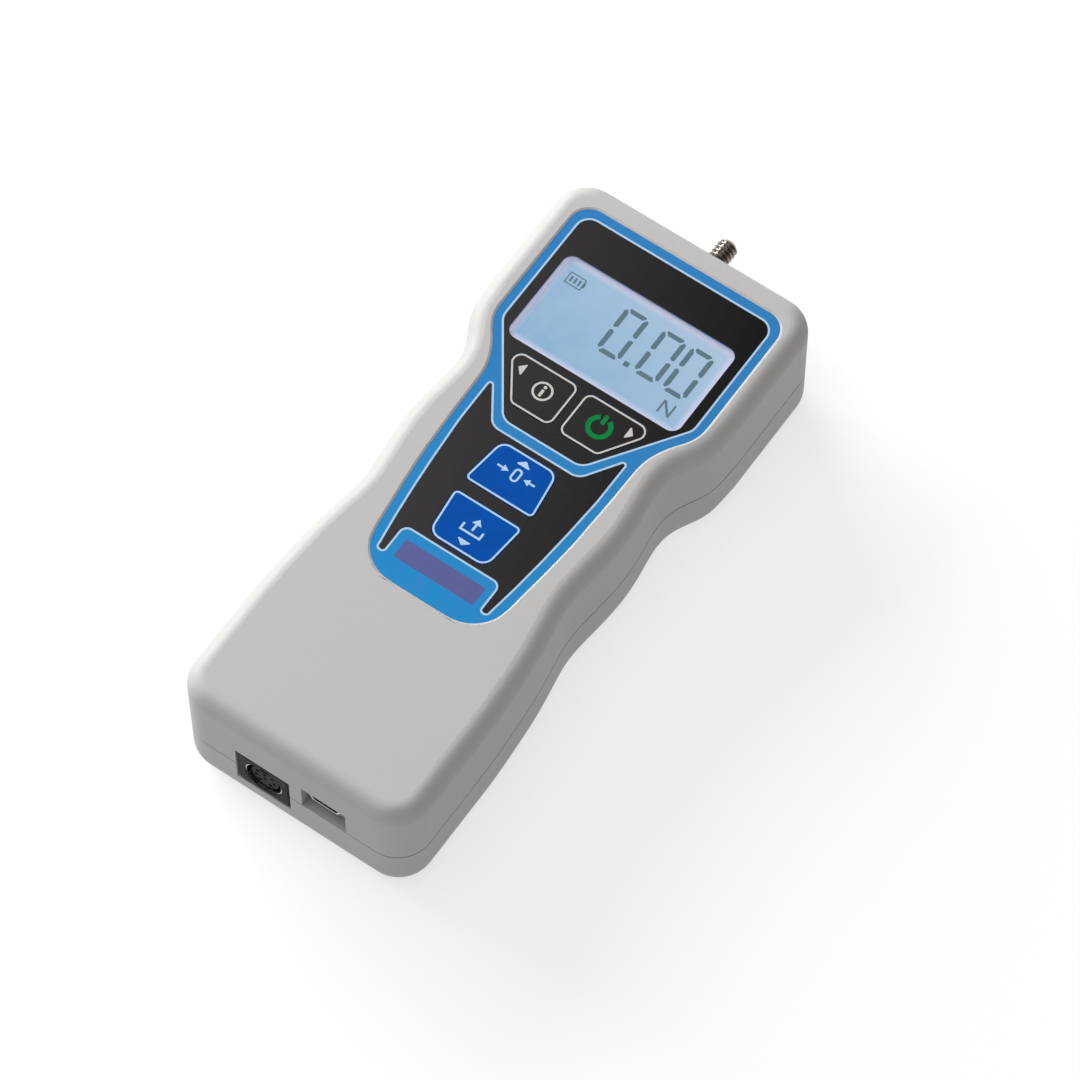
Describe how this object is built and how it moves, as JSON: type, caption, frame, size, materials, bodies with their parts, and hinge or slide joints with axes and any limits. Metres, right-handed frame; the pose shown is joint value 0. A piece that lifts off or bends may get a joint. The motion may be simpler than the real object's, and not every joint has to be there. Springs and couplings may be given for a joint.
{
  "type": "force gauge",
  "caption": "Hand-held digital force gauge: waisted plastic housing with backlit display and keypad, a threaded measuring shaft at one end and data sockets at the other.",
  "frame": {"origin": "centre of the flat back face, midway between the two end walls of the housing", "axes": "+Y along the measuring shaft, pointing out of the threaded end; +Z out of the face with the display; +X to the right when the display is read with the shaft pointing up"},
  "size_m": [0.0638, 0.1626, 0.033],
  "materials": {
    "housing_plastic": "fine matte moulded texture",
    "overlay_print": "satin printed film, black with a blue border",
    "window_clear": "clear pane",
    "lcd_glass": "pale blue display glass",
    "light_guide": "milky blue-white light guide",
    "black_plastic": "matte",
    "strip_rubber": "matte, with fine conducting layers",
    "key_black": "satin printed film",
    "key_blue": "satin printed film",
    "board_green": "solder mask over glass laminate",
    "socket_nickel": "nickel plate",
    "contact_brass": "bright",
    "cell_aluminium": "machined",
    "zinc_steel": "zinc plated",
    "screw_steel": "black oxide",
    "bush_bronze": "sintered bronze",
    "shaft_steel": "turned stainless steel",
    "battery_sleeve": "shrink sleeve",
    "pad_foam": "closed-cell foam"
  },
  "bodies": {
    "housing": {"front_shell": "housing_plastic", "rear_shell": "housing_plastic", "face_overlay": "overlay_print", "display_window": "window_clear", "lcd_front_glass": "lcd_glass", "lcd_rear_glass": "lcd_glass", "lcd_backlight": "light_guide", "lcd_frame": "black_plastic", "lcd_contact_strip": "strip_rubber", "tactile_switches": "black_plastic", "main_board": "board_green", "board_components": "black_plastic", "buzzer": "black_plastic", "din_socket_housing": "black_plastic", "din_socket_shield": "socket_nickel", "din_socket_core": "black_plastic", "din_socket_contacts": "contact_brass", "usb_socket_shell": "socket_nickel", "usb_socket_tongue": "black_plastic", "usb_socket_contacts": "contact_brass", "connector_board": "board_green", "load_cell": "cell_aluminium", "load_cell_bracket": "zinc_steel", "load_cell_screws": "screw_steel", "overload_stops": "screw_steel", "shaft_bush": "bush_bronze", "battery_cells": "battery_sleeve", "battery_tray": "black_plastic", "battery_pad": "pad_foam", "shell_screws": "screw_steel", "board_screws": "zinc_steel", "mounting_inserts": "contact_brass"},
    "shaft": {"measuring_shaft": "shaft_steel", "shaft_carrier": "cell_aluminium"},
    "info_key": {"info_key": "key_black"},
    "power_key": {"power_key": "key_black"},
    "zero_key": {"zero_key": "key_blue"},
    "send_key": {"send_key": "key_blue"}
  },
  "joints": [
    {"name": "shaft_deflection", "type": "slide", "parent": "housing", "child": "shaft", "axis": [0, 1, 0], "range_m": [-0.00025, 0.00025], "stiffness_N_per_m": 200000},
    {"name": "info_press", "type": "slide", "parent": "housing", "child": "info_key", "axis": [0, 0, 1], "range_m": [-0.0004, 0], "stiffness_N_per_m": 4000},
    {"name": "power_press", "type": "slide", "parent": "housing", "child": "power_key", "axis": [0, 0, 1], "range_m": [-0.0004, 0], "stiffness_N_per_m": 4000},
    {"name": "zero_press", "type": "slide", "parent": "housing", "child": "zero_key", "axis": [0, 0, 1], "range_m": [-0.0004, 0], "stiffness_N_per_m": 4000},
    {"name": "send_press", "type": "slide", "parent": "housing", "child": "send_key", "axis": [0, 0, 1], "range_m": [-0.0004, 0], "stiffness_N_per_m": 4000}
  ]
}
